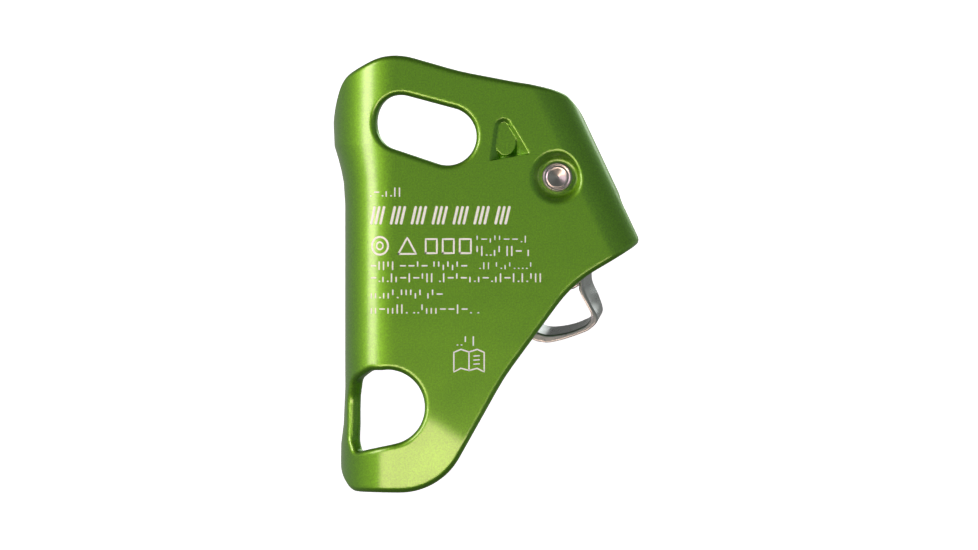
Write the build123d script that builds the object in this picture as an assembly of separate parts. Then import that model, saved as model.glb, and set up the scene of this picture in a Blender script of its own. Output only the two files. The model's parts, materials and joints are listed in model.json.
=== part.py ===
"""Chest ascender (rope clamp): folded aluminium frame, toothed cam on a shoulder rivet, finger trigger.

Row frame: the origin is the centre of the lower eye on the outer face of the back plate.
+X runs towards the axle side, +Y goes through the plate into the rope channel, +Z is up.
All sizes are in millimetres.
"""

import os
from math import atan2, cos, degrees, exp, radians, sin, tan

from build123d import *

# --- frame plate -------------------------------------------------------------------------------
PLATE = 4.0                 # sheet thickness
DEPTH = 24.0                # outer depth of the folded channel
FLAT_START_X = 2.3          # where the left bend runs out into the flat plate
LIP_END_X = 3.5             # free edge of the front lip
LIP_BACK_Y = 15.0           # the lip's trimmed edges lie in front of this depth
# (height, outer bend radius): the channel flares at its mouth and a little at its foot
BEND_STATIONS = [(-26.0, 15.1), (-15.0, 15.2), (-10.5, 15.1), (-5.0, 14.4), (5.0, 14.0), (55.0, 14.0),
                 (61.0, 14.4), (64.5, 15.1), (67.8, 16.0), (71.0, 17.0), (77.5, 17.3), (84.0, 17.2),
                 (97.0, 16.8)]
CHANNEL_BEND_R = 14.0
BLEND_X = 30.0              # the channel half and the fold half of the frame meet here
CUT_BACK = -2.0             # cutters start behind the plate and end in front of the frame
CUT_FRONT = 30.0
SPACE = 200.0               # size of the blocks that part the frame's halves

LOWER_EYE_R = 10.15
LOWER_EYE_BEND_CENTRE = (-3.7, -1.3)
LOWER_EYE_BEND_TILT = 38.0  # direction in which the eye runs on into the bend, from -Y towards -X
LOWER_EYE_BEND_HALF_WIDTH = 7.2
LOWER_EYE_BEND_LENGTH = 22.0
UPPER_EYE = (10.2, 75.1)
UPPER_EYE_R = 7.6
UPPER_EYE_SPACING = 13.2
UPPER_EYE_TILT = -16.8

# --- axle and the fold that carries its front end ----------------------------------------------
AXLE = (46.2, 62.2)
AXLE_R = 4.0                # between the shoulders
AXLE_END_R = 3.0            # through the plate and the ear
AXLE_HEAD_R = 4.1
AXLE_HEAD = 1.5
AXLE_TAIL = 1.6
AXLE_CHAMFER = 0.5
AXLE_END_Y = 0.4            # the shank's back end, under the dimple's rim
DIMPLE_R = 2.2              # at the dimple's mouth
DIMPLE_FLOOR_R = 0.4
DIMPLE_DEPTH = 1.0
AXLE_WASHER_R = 7.0
AXLE_WASHER = 1.0
RECESS_TOP_R = 7.0
RECESS_FLOOR_R = 5.4
RECESS_DEPTH = 1.9
FOLD_ANGLE = 25.15          # the fold's outward normal, from +X towards +Z
FOLD_REACH = 13.6           # axle axis to the fold's outer wall
FOLD_R = 10.0
EAR_R = 9.5
EAR_BACK_Y = 16.0           # in front of this depth only the ear is left of the fold
HUB_ROOM_R = 8.9            # the inside of the fold is spot-faced to this radius for the hub
FOLD_NOTCH_TOP = -12.0      # along the fold from the axle: the wall is open below this for the trigger
FOLD_NOTCH_Y = 8.6
FOLD_TOP = 46.0
FOLD_BOTTOM = -34.0

# --- stop boss pressed through the plate -------------------------------------------------------
BOSS_APEX = (31.5, 78.6)
BOSS_LEFT = (27.9, 66.6)
BOSS_RIGHT = (39.0, 68.5)
BOSS_DEPTH = 3.4
BOSS_WALL = 2.6             # how much wider the boss is on the inside
BOSS_LIFT = 1.5             # how much further its apex reaches there

# --- cam ---------------------------------------------------------------------------------------
CAM_BACK = 5.1
CAM_FRONT = 18.9
CAM_BODY_BACK = 5.6
CAM_BODY_FRONT = 17.8
CAM_HUB_R = 8.5
CAM_NOSE_R = 54.4           # spiral radius at the lowest tooth
CAM_PITCH = 22.0            # spiral angle: the face stays vertical where the rope is clamped
CAM_TOOTH_ARC = 25.0        # angle of the toothed face about the axle
CAM_PAD_BACK = 7.7
CAM_PAD_FRONT = 17.6
TOOTH_ROWS = 9
TOOTH_SPACING = 1.95        # between neighbouring columns, which alternate from row to row
TOOTH_R = 0.95
TOOTH_TIP_R = 0.25
TOOTH_HEIGHT = 1.5
TOOTH_SINK = 0.4            # root below the cam's face
TOOTH_LEAN = 22.0           # the lowest teeth point this far below the horizontal
TOOTH_SKIP_ARC = 4.5        # the middle column stops this far from a mud slot
MUD_SLOT_ARCS = (6.2, 17.8)
MUD_SLOT_LENGTH = 5.5
MUD_SLOT_WIDTH = 2.0
MUD_SLOT_DEPTH = 12.0
POCKET_BACK = 8.4           # the lightening pockets leave the web between these depths
POCKET_FRONT = 15.0
BUSH_R = 5.5
RUNNING_GAP = 0.03
THRUST_WASHER_R = 6.9
THRUST_WASHER = 1.0
SPRING_COIL_R = 7.75        # cam spring, to the middle of the wire
SPRING_WIRE_R = 0.6
SPRING_BACK = 13.8
SPRING_PITCH = 1.25
SPRING_EAR_ANGLE = -20.0    # holes for the wire's straight ends, round the axle from +X to +Z
SPRING_CAM_ANGLE = 180.0
SPRING_FULL_TURNS = 3
SPRING_HOLE_DEPTH = 3.5
SPRING_HOLE_PLAY = 0.15
SPRING_ROOM_R = 9.2         # the groove in the cam's front for the coil
SPRING_ROOM_WALL = 1.2
SPRING_ROOM_BACK = 13.0

# --- trigger -----------------------------------------------------------------------------------
TRIGGER_PIN = (42.9, 35.4)
TRIGGER_PIN_R = 2.0
PIN_HEAD_R = 2.8
PIN_HEAD = 0.7
PIN_TAIL_R = 3.0
PIN_TAIL = 0.9
FORK_R = 5.4
FORK_BACK = 8.9
FORK_CHEEK = 1.8
FORK_ROOM_R = 9.4
STOP_PIN_R = 1.0
STOP_PIN_REACH = 7.3        # stop pin from the trigger pin
STOP_PIN_ANGLE = 116.0
TRIGGER_HUB_R = 3.9
TRIGGER_SLEEVE_R = 2.9
TRIGGER_WASHER = 0.4
TRIGGER_WASHER_R = 3.6
TRIGGER_PLAY_R = 0.05       # the hub's bore round the pin
TRIGGER_PLAY = 0.2          # each side of the hub, between the washers
TRIGGER_HUB_BACK = FORK_BACK + FORK_CHEEK + TRIGGER_WASHER + TRIGGER_PLAY
TRIGGER_HUB_FRONT = CAM_BODY_FRONT - FORK_CHEEK - TRIGGER_WASHER - TRIGGER_PLAY
TRIGGER_COIL_R = 3.45
TRIGGER_WIRE_R = 0.35
TRIGGER_COIL_TURNS = 1.75
TRIGGER_COIL_PITCH = 0.85
TRIGGER_COIL_ANGLE = 30.0
TRIGGER_COIL_START = 0.4    # in front of the hub's back face
TRIGGER_ROOM_DEPTH = 2.2
TRIGGER_ROOM_WALL = 0.25    # the coil's room reaches past the hub by this
LUG_ANGLE = 137.0           # stop lug, round the pin from +X to +Z
LUG_REACH = 6.5
LUG_R = 1.2
LOOP_BACK = 9.3
LOOP_WIDTH = 7.0
LOOP_LEAN = (1.6, 2.5)      # how far the loop leans in X and Z from its back edge to its front edge


def upright(sketch, y_from, y_to):
    """Solid with the given X-Z sketch as its front view, between two depths."""
    return Pos(0, y_to, 0) * Rot(90, 0, 0) * extrude(sketch, y_to - y_from)


def polygon(*points):
    return make_face(Polyline(*points, close=True))


def y_cylinder(centre, radius, y_from, y_to):
    return upright(Pos(*centre) * Circle(radius), y_from, y_to)


def tube(centre, outer, inner, y_from, y_to):
    return upright(Pos(*centre) * (Circle(outer) - Circle(inner)), y_from, y_to)


def polar(centre, radius, angle):
    return (centre[0] + radius * cos(radians(angle)), centre[1] + radius * sin(radians(angle)))


def on_fold(across, along):
    """Point in X-Z from distances across the fold (outwards) and along it (upwards) from the axle."""
    turn = radians(FOLD_ANGLE)
    x = AXLE[0] + across * cos(turn) - along * sin(turn)
    z = AXLE[1] + across * sin(turn) + along * cos(turn)
    return (x, z)


# --- frame -------------------------------------------------------------------------------------

def channel_section(bend_r):
    """Plate, left bend, front bend and lip, in plan."""
    wall = FLAT_START_X - bend_r
    front_r = DEPTH - bend_r
    inner_wall = wall + PLATE
    lip_start = wall + front_r
    edges = [
        Line((60, 0), (FLAT_START_X, 0)),
        RadiusArc((FLAT_START_X, 0), (wall, bend_r), bend_r),
        RadiusArc((wall, bend_r), (lip_start, DEPTH), front_r),
        Line((lip_start, DEPTH), (LIP_END_X, DEPTH)),
        Line((LIP_END_X, DEPTH), (LIP_END_X, DEPTH - PLATE)),
        Line((LIP_END_X, DEPTH - PLATE), (lip_start, DEPTH - PLATE)),
        RadiusArc((lip_start, DEPTH - PLATE), (inner_wall, bend_r), -(front_r - PLATE)),
        RadiusArc((inner_wall, bend_r), (FLAT_START_X, PLATE), -(bend_r - PLATE)),
        Line((FLAT_START_X, PLATE), (60, PLATE)),
        Line((60, PLATE), (60, 0)),
    ]
    return make_face(edges)


def channel_solid():
    sections = [Pos(0, 0, z) * channel_section(bend_r) for z, bend_r in BEND_STATIONS]
    return loft(sections, ruled=True)


def fold_solid():
    """Plate, right bend, wall, front bend and ear, extruded along the slanted fold."""
    bend_x = FOLD_REACH - FOLD_R
    wall_y = DEPTH - FOLD_R
    inner_r = FOLD_R - PLATE
    edges = [
        Line((-20, 0), (bend_x, 0)),
        RadiusArc((bend_x, 0), (FOLD_REACH, FOLD_R), -FOLD_R),
        Line((FOLD_REACH, FOLD_R), (FOLD_REACH, wall_y)),
        RadiusArc((FOLD_REACH, wall_y), (bend_x, DEPTH), -FOLD_R),
        Line((bend_x, DEPTH), (-20, DEPTH)),
        Line((-20, DEPTH), (-20, DEPTH - PLATE)),
        Line((-20, DEPTH - PLATE), (bend_x, DEPTH - PLATE)),
        RadiusArc((bend_x, DEPTH - PLATE), (FOLD_REACH - PLATE, wall_y), inner_r),
        Line((FOLD_REACH - PLATE, wall_y), (FOLD_REACH - PLATE, FOLD_R)),
        RadiusArc((FOLD_REACH - PLATE, FOLD_R), (bend_x, PLATE), inner_r),
        Line((bend_x, PLATE), (-20, PLATE)),
        Line((-20, PLATE), (-20, 0)),
    ]
    bar = Pos(0, 0, FOLD_BOTTOM) * extrude(make_face(edges), FOLD_TOP - FOLD_BOTTOM)
    return Pos(AXLE[0], 0, AXLE[1]) * Rot(0, -FOLD_ANGLE, 0) * bar


def plate_outline():
    """Front view of the whole plate; the left side is open because the bend makes that edge."""
    top_left = Spline((-20, 70), (-16.2, 76.5), (-14.2, 84.2), (-10.6, 90.6), (-4.2, 94.0), (3.0, 95.3),
                      (9.5, 94.0))
    top = Spline((9.5, 94.0), (20.0, 91.0), (33.0, 88.4), (47.6, 85.6))
    corner_top = ThreePointArc((47.6, 85.6), (50.9, 83.6), (52.6, 80.6))
    right = Line((52.6, 80.6), (68.2, 47.9))
    corner_right = ThreePointArc((68.2, 47.9), (68.8, 45.2), (66.9, 43.2))
    lower_right = Spline((66.9, 43.2), (56.4, 36.9), (47.4, 28.6), (38.8, 17.8), (30.5, 5.7), (23.2, -7.3),
                         (16.8, -17.2), (9.2, -22.1), (0.0, -23.5), (-8.1, -22.7), (-13.0, -18.4),
                         (-20, -12))
    left = Line((-20, -12), (-20, 70))
    return make_face([top_left, top, corner_top, right, corner_right, lower_right, left])


def lip_trim():
    """Space in front of the plate that the channel's lip leaves free, in front view."""
    return polygon((-30, -40), (-30, 12), (-3, 14), (1.6, 16), (3.4, 20), (3.4, 57), (-0.2, 61.5),
                   (-3.9, 65.0), (-11.4, 71.5), (-14.2, 79), (-30, 85), (-30, 120), (44, 120),
                   (34, 70), (34, 50), (44, -40))


def foot_trim():
    """Space beside the foot of the channel, where only the first bend is left, in side view."""
    side = polygon((16.5, -40), (16.5, 4), (18, 8), (21, 12), (30, 14), (30, -40))
    return Pos(-30, 0, 0) * Rot(90, 0, 90) * extrude(side, 50)


def ear_trim():
    """Space round the ear: the ear keeps a round nose about the axle."""
    keep = Circle(EAR_R) + Pos(20, 0) * Rectangle(40, 2 * EAR_R)
    view = Pos(*AXLE) * Rot(0, 0, FOLD_ANGLE) * (Rectangle(70, 90) - keep)
    return upright(view, EAR_BACK_Y, CUT_FRONT)


def fold_notch():
    corners = [on_fold(4, FOLD_NOTCH_TOP), on_fold(20, FOLD_NOTCH_TOP), on_fold(20, -40), on_fold(4, -40)]
    return upright(polygon(*corners), FOLD_NOTCH_Y, CUT_FRONT)


def boss(apex, left, right, depth, y_start):
    """Half pyramid that starts at the apex and is deepest along its sheared lower edge."""
    prism = upright(polygon(apex, left, right), y_start, y_start + depth + 0.01)
    mid = ((left[0] + right[0]) / 2, (left[1] + right[1]) / 2)
    run = (Vector(mid) - Vector(apex)).length
    down = Vector(mid[0] - apex[0], 0, mid[1] - apex[1]).normalized()
    normal = Vector(0, 1, 0) * run - down * depth
    ramp = Plane(origin=(apex[0], y_start, apex[1]), z_dir=normal)
    return split(prism, bisect_by=ramp, keep=Keep.BOTTOM)


def eye_cutters():
    second = LOWER_EYE_BEND_CENTRE
    between = Pos(second[0] / 2, second[1] / 2) * Rectangle(-second[0], 2 * LOWER_EYE_R)
    view = Circle(LOWER_EYE_R) + Pos(*second) * Circle(LOWER_EYE_R) + between
    view &= Pos(27 + second[0], 0) * Rectangle(60, 60)
    lower_flat = upright(view, CUT_BACK, CUT_FRONT)
    bore = extrude(Ellipse(LOWER_EYE_BEND_HALF_WIDTH, LOWER_EYE_R - 0.2), LOWER_EYE_BEND_LENGTH)
    lower_bend = (Pos(FLAT_START_X, CHANNEL_BEND_R, second[1]) * Rot(0, 0, -LOWER_EYE_BEND_TILT)
                  * Pos(0, 2, 0) * Rot(90, 0, 0) * bore)
    slot = SlotCenterToCenter(UPPER_EYE_SPACING, 2 * UPPER_EYE_R)
    slot = Pos(*UPPER_EYE) * Rot(0, 0, UPPER_EYE_TILT) * slot
    return [lower_flat, lower_bend, upright(slot, CUT_BACK, DEPTH / 2)]


def make_frame():
    left_space = Pos(BLEND_X - SPACE / 2, 0, 0) * Box(SPACE, SPACE, 2 * SPACE)
    right_space = Pos(BLEND_X + SPACE / 2, 0, 0) * Box(SPACE, SPACE, 2 * SPACE)
    left_half = (channel_solid() & left_space) - upright(lip_trim(), LIP_BACK_Y, CUT_FRONT) - foot_trim()
    right_half = (fold_solid() - ear_trim() - fold_notch()) & right_space
    bare_plate = upright(plate_outline(), 0, PLATE)
    fold_side = polygon(on_fold(-15, -60), on_fold(-15, 60), on_fold(40, 60), on_fold(40, -60))
    near_fold = upright(fold_side, CUT_BACK, CUT_FRONT)
    plate = (bare_plate & right_space) - near_fold
    outline = upright(plate_outline(), CUT_BACK, CUT_FRONT)
    body = (left_half + plate + (right_half & near_fold)) & outline
    for cutter in eye_cutters():
        body -= cutter
    body += boss((BOSS_APEX[0], BOSS_APEX[1] + BOSS_LIFT), (BOSS_LEFT[0] - BOSS_WALL, BOSS_LEFT[1] - 0.3),
                 (BOSS_RIGHT[0] + BOSS_WALL, BOSS_RIGHT[1] + 0.5), BOSS_DEPTH + 0.3, PLATE)
    body -= boss(BOSS_APEX, BOSS_LEFT, BOSS_RIGHT, PLATE + BOSS_DEPTH - BOSS_WALL, 0)
    dish = Pos(AXLE[0], RECESS_DEPTH, AXLE[1]) * Rot(90, 0, 0)
    slope = degrees(atan2(RECESS_TOP_R - RECESS_FLOOR_R, RECESS_DEPTH))
    body -= dish * extrude(Circle(RECESS_FLOOR_R), RECESS_DEPTH - CUT_BACK, taper=-slope)
    body -= y_cylinder(AXLE, AXLE_END_R, CUT_BACK, CUT_FRONT)
    body -= y_cylinder(AXLE, HUB_ROOM_R, PLATE, DEPTH - PLATE)
    spring_hole = polar(AXLE, SPRING_COIL_R, SPRING_EAR_ANGLE)
    body -= y_cylinder(spring_hole, SPRING_WIRE_R + SPRING_HOLE_PLAY, DEPTH - PLATE - 1, CUT_FRONT)
    return body


# --- axle group --------------------------------------------------------------------------------

def make_cam_axle():
    axle = y_cylinder(AXLE, AXLE_R, PLATE, DEPTH - PLATE)
    tail_y = DEPTH + AXLE_WASHER
    axle += y_cylinder(AXLE, AXLE_END_R, AXLE_END_Y, tail_y + AXLE_TAIL)
    head = y_cylinder(AXLE, AXLE_HEAD_R, RECESS_DEPTH - AXLE_HEAD, RECESS_DEPTH)
    head = chamfer(head.edges().group_by(Axis.Y)[0], AXLE_CHAMFER)
    tail = y_cylinder(AXLE, AXLE_HEAD_R, tail_y, tail_y + AXLE_TAIL)
    tail = chamfer(tail.edges().group_by(Axis.Y)[-1], AXLE_CHAMFER)
    cone = Pos(0, 0, DIMPLE_DEPTH / 2) * Cone(DIMPLE_R, DIMPLE_FLOOR_R, DIMPLE_DEPTH)
    dimple = Pos(AXLE[0], RECESS_DEPTH - AXLE_HEAD, AXLE[1]) * Rot(-90, 0, 0) * cone
    return axle + head + tail - dimple


def make_axle_washer():
    return tube(AXLE, AXLE_WASHER_R, AXLE_END_R, DEPTH, DEPTH + AXLE_WASHER)


def make_thrust_washer(y_from):
    return tube(AXLE, THRUST_WASHER_R, AXLE_R, y_from, y_from + THRUST_WASHER)


def make_cam_bush():
    return tube(AXLE, BUSH_R, AXLE_R + RUNNING_GAP, CAM_BACK, CAM_FRONT)


# --- cam ---------------------------------------------------------------------------------------

def spiral_point(arc, lift=0.0):
    """Point on the cam's toothed face, arc degrees above the lowest tooth."""
    r = CAM_NOSE_R * exp(-tan(radians(CAM_PITCH)) * radians(arc)) + lift
    angle = radians(CAM_PITCH - arc)
    return (AXLE[0] - r * cos(angle), AXLE[1] - r * sin(angle))


def cam_profile():
    spiral = [spiral_point(CAM_TOOTH_ARC * i / 4) for i in range(5)]
    face = Spline(*spiral)
    crown = Polyline(spiral[-1], (3.4, 65.2), (9, 63.4), (17, 62.9), (27, 65.7), (40.5, 68.1))
    hub_top = ThreePointArc((40.5, 68.1), (51.8, 68.4), (53.0, 57.2))
    arm_right = Polyline((53.0, 57.2), (50.0, 52.0), (47.4, 38.4))
    arm_end = ThreePointArc((47.4, 38.4), (44.6, 30.3), (37.7, 34.2))
    belly = Spline((37.7, 34.2), (34.0, 41.5), (25, 45.6), (12, 43.2), (1.5, 38.9))
    nose = ThreePointArc((1.5, 38.9), (-3.0, 38.6), spiral[0])
    return make_face([face, crown, hub_top, arm_right, arm_end, belly, nose])


def cam_tooth(arc, y):
    """Pointed tooth that leans down the rope."""
    x, z = spiral_point(arc, -TOOTH_SINK)
    lean = TOOTH_LEAN - arc
    tooth = Pos(0, 0, TOOTH_HEIGHT / 2) * Cone(TOOTH_R, TOOTH_TIP_R, TOOTH_HEIGHT)
    return Pos(x, y, z) * Rot(0, -90 - lean, 0) * tooth


def make_cam():
    pad_middle = (CAM_PAD_BACK + CAM_PAD_FRONT) / 2
    cam = upright(cam_profile(), CAM_BODY_BACK, CAM_BODY_FRONT)
    arm_zone = polygon((28, 20), (28, 40), (34, 46), (38, 51), (43, 54), (60, 60), (60, 20))
    cam -= upright(arm_zone, 0, FORK_BACK)
    cam += y_cylinder(AXLE, CAM_HUB_R, CAM_BACK, CAM_FRONT)
    nose_zone = polygon((-20, 20), (-20, 80), (8, 80), (8, 20))
    cam -= upright(nose_zone, 0, CAM_PAD_BACK)
    cam -= upright(nose_zone, CAM_PAD_FRONT, CUT_FRONT)
    pocket = polygon((13, 47.5), (13, 58.5), (22, 58.8), (33, 61.5), (35.6, 55), (39, 51.5), (37, 47),
                     (25, 49.5))
    pocket = fillet(pocket.vertices(), 2.0)
    cam -= upright(pocket, 0, POCKET_BACK)
    cam -= upright(pocket, POCKET_FRONT, CUT_FRONT)
    for arc in MUD_SLOT_ARCS:
        x, z = spiral_point(arc)
        turn = Rot(0, arc - CAM_PITCH, 0)
        slot = extrude(SlotOverall(MUD_SLOT_LENGTH, MUD_SLOT_WIDTH), MUD_SLOT_DEPTH, both=True)
        cam -= Pos(x, pad_middle, z) * turn * Rot(0, 90, 0) * slot
    cam -= tube(AXLE, SPRING_ROOM_R, BUSH_R + SPRING_ROOM_WALL, SPRING_ROOM_BACK, CUT_FRONT)
    spring_hole = polar(AXLE, SPRING_COIL_R, SPRING_CAM_ANGLE)
    hole_back = SPRING_BACK - SPRING_HOLE_DEPTH
    cam -= y_cylinder(spring_hole, SPRING_WIRE_R + SPRING_HOLE_PLAY, hole_back, CUT_FRONT)
    cam -= y_cylinder(TRIGGER_PIN, FORK_ROOM_R, FORK_BACK + FORK_CHEEK, CAM_BODY_FRONT - FORK_CHEEK)
    cam -= y_cylinder(stop_pin_place(), STOP_PIN_R, 0, CUT_FRONT)
    cam -= y_cylinder(TRIGGER_PIN, TRIGGER_PIN_R, 0, CUT_FRONT)
    cam -= y_cylinder(AXLE, BUSH_R, 0, CUT_FRONT)
    for row in range(TOOTH_ROWS):
        arc = 1.0 + (CAM_TOOTH_ARC - 2.0) * row / (TOOTH_ROWS - 1)
        columns = (-1, 1) if row % 2 else (-2, 0, 2)
        for column in columns:
            over_slot = min(abs(arc - slot_arc) for slot_arc in MUD_SLOT_ARCS) < TOOTH_SKIP_ARC
            if column or not over_slot:
                cam += cam_tooth(arc, pad_middle + column * TOOTH_SPACING)
    return cam


def coil(centre, mean_r, wire_r, y_from, turns, pitch, start_angle):
    """Spring coil about an axis along Y, from the angle given, turning from +Z towards +X."""
    path = Helix(pitch=pitch, height=pitch * turns, radius=mean_r)
    start = Plane(origin=path @ 0, z_dir=path % 0)
    wire = sweep(start * Circle(wire_r), path=path)
    return Pos(centre[0], y_from, centre[1]) * Rot(0, -start_angle, 0) * Rot(-90, 0, 0) * wire


def make_cam_spring():
    """Coil only: its straight ends run on into the holes in the cam and in the ear."""
    turns = SPRING_FULL_TURNS + (SPRING_CAM_ANGLE - SPRING_EAR_ANGLE) / 360
    return coil(AXLE, SPRING_COIL_R, SPRING_WIRE_R, SPRING_BACK, turns, SPRING_PITCH, SPRING_CAM_ANGLE)


# --- trigger group -----------------------------------------------------------------------------

def make_trigger_pin():
    pin = y_cylinder(TRIGGER_PIN, TRIGGER_PIN_R - RUNNING_GAP, FORK_BACK, CAM_BODY_FRONT)
    pin += y_cylinder(TRIGGER_PIN, PIN_HEAD_R, FORK_BACK - PIN_HEAD, FORK_BACK)
    return pin + y_cylinder(TRIGGER_PIN, PIN_TAIL_R, CAM_BODY_FRONT, CAM_BODY_FRONT + PIN_TAIL)


def make_trigger_washer(y_from):
    return tube(TRIGGER_PIN, TRIGGER_WASHER_R, TRIGGER_PIN_R, y_from, y_from + TRIGGER_WASHER)


def stop_pin_place():
    return polar(TRIGGER_PIN, STOP_PIN_REACH, STOP_PIN_ANGLE)


def make_trigger_stop_pin():
    return y_cylinder(stop_pin_place(), STOP_PIN_R, FORK_BACK, CAM_BODY_FRONT)


def make_trigger_spring():
    return coil(TRIGGER_PIN, TRIGGER_COIL_R, TRIGGER_WIRE_R, TRIGGER_HUB_BACK + TRIGGER_COIL_START,
                TRIGGER_COIL_TURNS, TRIGGER_COIL_PITCH, TRIGGER_COIL_ANGLE)


def loop_profile():
    """Closed finger loop, seen from the back, as an outer outline less an inner one."""
    outer = Spline((54.2, 36.6), (54.4, 31.5), (56.2, 27.2), (57.4, 23.3), (55.3, 20.9), (50.0, 18.6),
                   (45.0, 17.25), (39.6, 18.0), (37.0, 22.0), (37.4, 27.0), (39.4, 32.0))
    closing = Line((39.4, 32.0), (54.2, 36.6))
    inner = Spline((51.7, 33.6), (52.3, 30.9), (54.5, 27.0), (55.5, 23.9), (53.8, 21.8), (49.6, 20.0),
                   (44.4, 19.25), (40.8, 20.0), (39.2, 22.4), (39.6, 26.2), (41.2, 29.6))
    top = Polyline((41.2, 29.6), (47.2, 32.2), (51.7, 33.6))
    return make_face([outer, closing]) - make_face([inner, top])


def make_trigger():
    profile = loop_profile()
    lean = Vector(LOOP_LEAN[0], LOOP_WIDTH, LOOP_LEAN[1])
    back = Pos(0, LOOP_BACK, 0) * Rot(90, 0, 0) * profile
    loop = extrude(back, amount=lean.length, dir=lean.normalized())
    loop -= y_cylinder(TRIGGER_PIN, FORK_R + 1.4, 0, CUT_FRONT)
    neck = polygon((41.2, 33.0), (38.8, 27.2), (41.4, 26.6), (44.6, 31.0), (50.8, 31.9), (52.4, 34.6))
    catch = polygon(TRIGGER_PIN, polar(TRIGGER_PIN, 8.4, 10), polar(TRIGGER_PIN, 8.8, 28),
                    polar(TRIGGER_PIN, 7.8, 52), polar(TRIGGER_PIN, 7.6, 72))
    lug = Pos(*polar(TRIGGER_PIN, LUG_REACH, LUG_ANGLE)) * Circle(LUG_R)
    shank = Rot(0, 0, LUG_ANGLE) * Rectangle(LUG_REACH, 2 * LUG_R)
    lug += Pos(*polar(TRIGGER_PIN, LUG_REACH / 2, LUG_ANGLE)) * shank
    body = loop + upright(neck + catch + lug, TRIGGER_HUB_BACK, TRIGGER_HUB_FRONT)
    body += y_cylinder(TRIGGER_PIN, TRIGGER_HUB_R, TRIGGER_HUB_BACK, TRIGGER_HUB_FRONT)
    room_r = TRIGGER_HUB_R + TRIGGER_ROOM_WALL
    body -= tube(TRIGGER_PIN, room_r, TRIGGER_SLEEVE_R, 0, TRIGGER_HUB_BACK + TRIGGER_ROOM_DEPTH)
    return body - y_cylinder(TRIGGER_PIN, TRIGGER_PIN_R + TRIGGER_PLAY_R, 0, CUT_FRONT)


def write(name, solid):
    export_step(solid, os.path.join("parts", name + ".step"))


def main():
    os.makedirs("parts", exist_ok=True)
    write("frame", make_frame())
    write("cam_axle", make_cam_axle())
    write("axle_washer", make_axle_washer())
    write("rear_thrust_washer", make_thrust_washer(PLATE))
    write("front_thrust_washer", make_thrust_washer(DEPTH - PLATE - THRUST_WASHER))
    write("cam", make_cam())
    write("cam_bush", make_cam_bush())
    write("cam_spring", make_cam_spring())
    write("trigger_pin", make_trigger_pin())
    write("trigger_rear_washer", make_trigger_washer(FORK_BACK + FORK_CHEEK))
    write("trigger_front_washer", make_trigger_washer(CAM_BODY_FRONT - FORK_CHEEK - TRIGGER_WASHER))
    write("trigger_stop_pin", make_trigger_stop_pin())
    write("trigger_spring", make_trigger_spring())
    write("trigger", make_trigger())


main()
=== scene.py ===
"""Visual model of the chest ascender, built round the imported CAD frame.

The folded frame, the cam and the trigger are implicit solids: a function gives the distance to the surface
at any point, a grid is contoured where it is zero, and the points are then pulled onto the true surface.
Shapes are worked out in millimetres in the part's axes and scaled to metres when the mesh is made.
"""

import json
import math

import bmesh
import bpy
import numpy as np
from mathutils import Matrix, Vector


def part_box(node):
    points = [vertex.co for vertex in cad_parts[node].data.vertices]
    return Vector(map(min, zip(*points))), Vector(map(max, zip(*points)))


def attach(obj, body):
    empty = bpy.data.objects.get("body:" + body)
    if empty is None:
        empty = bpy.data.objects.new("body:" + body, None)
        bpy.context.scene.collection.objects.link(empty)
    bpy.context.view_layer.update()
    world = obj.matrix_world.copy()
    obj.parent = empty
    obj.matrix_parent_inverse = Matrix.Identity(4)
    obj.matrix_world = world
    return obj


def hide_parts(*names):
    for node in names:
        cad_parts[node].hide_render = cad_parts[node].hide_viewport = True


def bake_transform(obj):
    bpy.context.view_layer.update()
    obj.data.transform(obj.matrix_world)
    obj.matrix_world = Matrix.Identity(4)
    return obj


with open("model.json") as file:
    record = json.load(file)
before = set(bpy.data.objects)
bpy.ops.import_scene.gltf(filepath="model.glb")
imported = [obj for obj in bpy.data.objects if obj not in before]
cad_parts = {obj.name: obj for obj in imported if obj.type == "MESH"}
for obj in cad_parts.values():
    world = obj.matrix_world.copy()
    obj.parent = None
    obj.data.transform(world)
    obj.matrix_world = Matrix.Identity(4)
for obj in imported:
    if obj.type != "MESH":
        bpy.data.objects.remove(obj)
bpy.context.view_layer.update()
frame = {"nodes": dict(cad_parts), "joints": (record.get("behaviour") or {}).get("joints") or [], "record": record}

MM = 0.001
JOINTS = {joint["name"]: joint for joint in frame["joints"]}


def joint_place(name):
    """X and Z of a hinge, in millimetres."""
    x, _, z = JOINTS[name]["pos_m"]
    return np.array([x / MM, z / MM])


def depth_range(node):
    """How far a CAD node reaches in Y, in millimetres."""
    low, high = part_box(node)
    return low.y / MM, high.y / MM


# --- driving sizes, in millimetres ---
AXLE = joint_place("cam_pivot")
TRIGGER_PIN = joint_place("trigger_pivot")
DEPTH = depth_range("frame")[1]
PLATE = 4.0
EDGE_ROUND = 1.5
FLAT_START = 2.3  # where the left bend runs out into the flat plate
BEND_HEIGHTS = [-26.0, -15.0, -10.5, -5.0, 5.0, 55.0, 61.0, 64.5, 67.8, 71.0, 77.5, 84.0, 97.0]
BEND_RADII = [15.25, 15.35, 15.25, 14.5, 14.0, 14.0, 14.4, 15.1, 16.0, 17.0, 17.3, 17.2, 16.8]

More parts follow.
